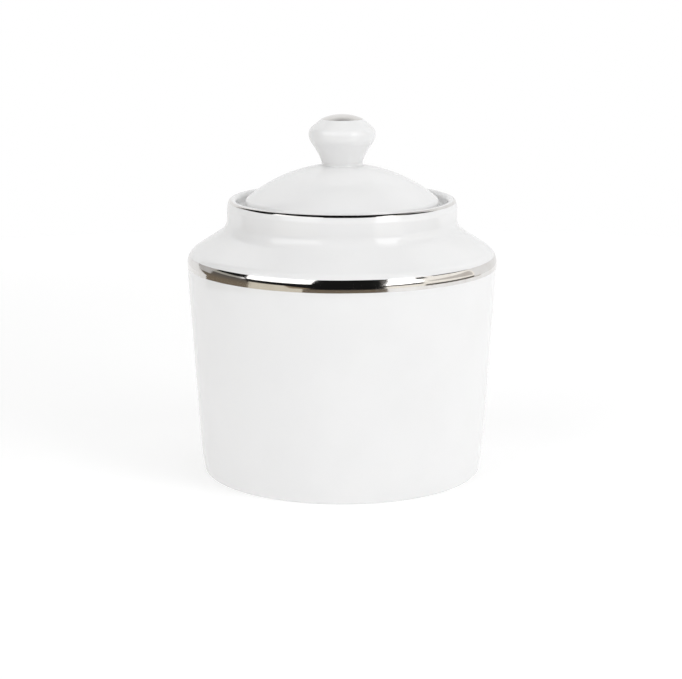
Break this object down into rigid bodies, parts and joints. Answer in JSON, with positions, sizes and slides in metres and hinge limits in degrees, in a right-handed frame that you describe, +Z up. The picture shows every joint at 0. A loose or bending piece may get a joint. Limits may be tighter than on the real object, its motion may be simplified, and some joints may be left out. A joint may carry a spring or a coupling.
{
  "type": "sugar bowl",
  "caption": "Round porcelain sugar bowl with sloping shoulder, upright neck, inset domed lid with mushroom knob, and platinum band, rim line and knob cap.",
  "frame": {"origin": "centre of the foot's resting plane", "axes": "+Z up, along the axis that every piece is turned about; the bowl is round, so X and Y are arbitrary"},
  "size_m": [0.1, 0.1, 0.1162],
  "materials": {
    "porcelain": "glossy clear glaze over white porcelain",
    "platinum": "bright fired platinum"
  },
  "bodies": {
    "bowl": {"bowl_body": "porcelain", "shoulder_band": "platinum", "rim_line": "platinum"},
    "lid": {"lid_dome": "porcelain", "lid_knob": "porcelain", "knob_cap": "platinum"}
  },
  "joints": [
    {"name": "lid_lift", "type": "slide", "parent": "bowl", "child": "lid", "axis": [0, 0, 1], "range_m": [0, 0.03]}
  ]
}
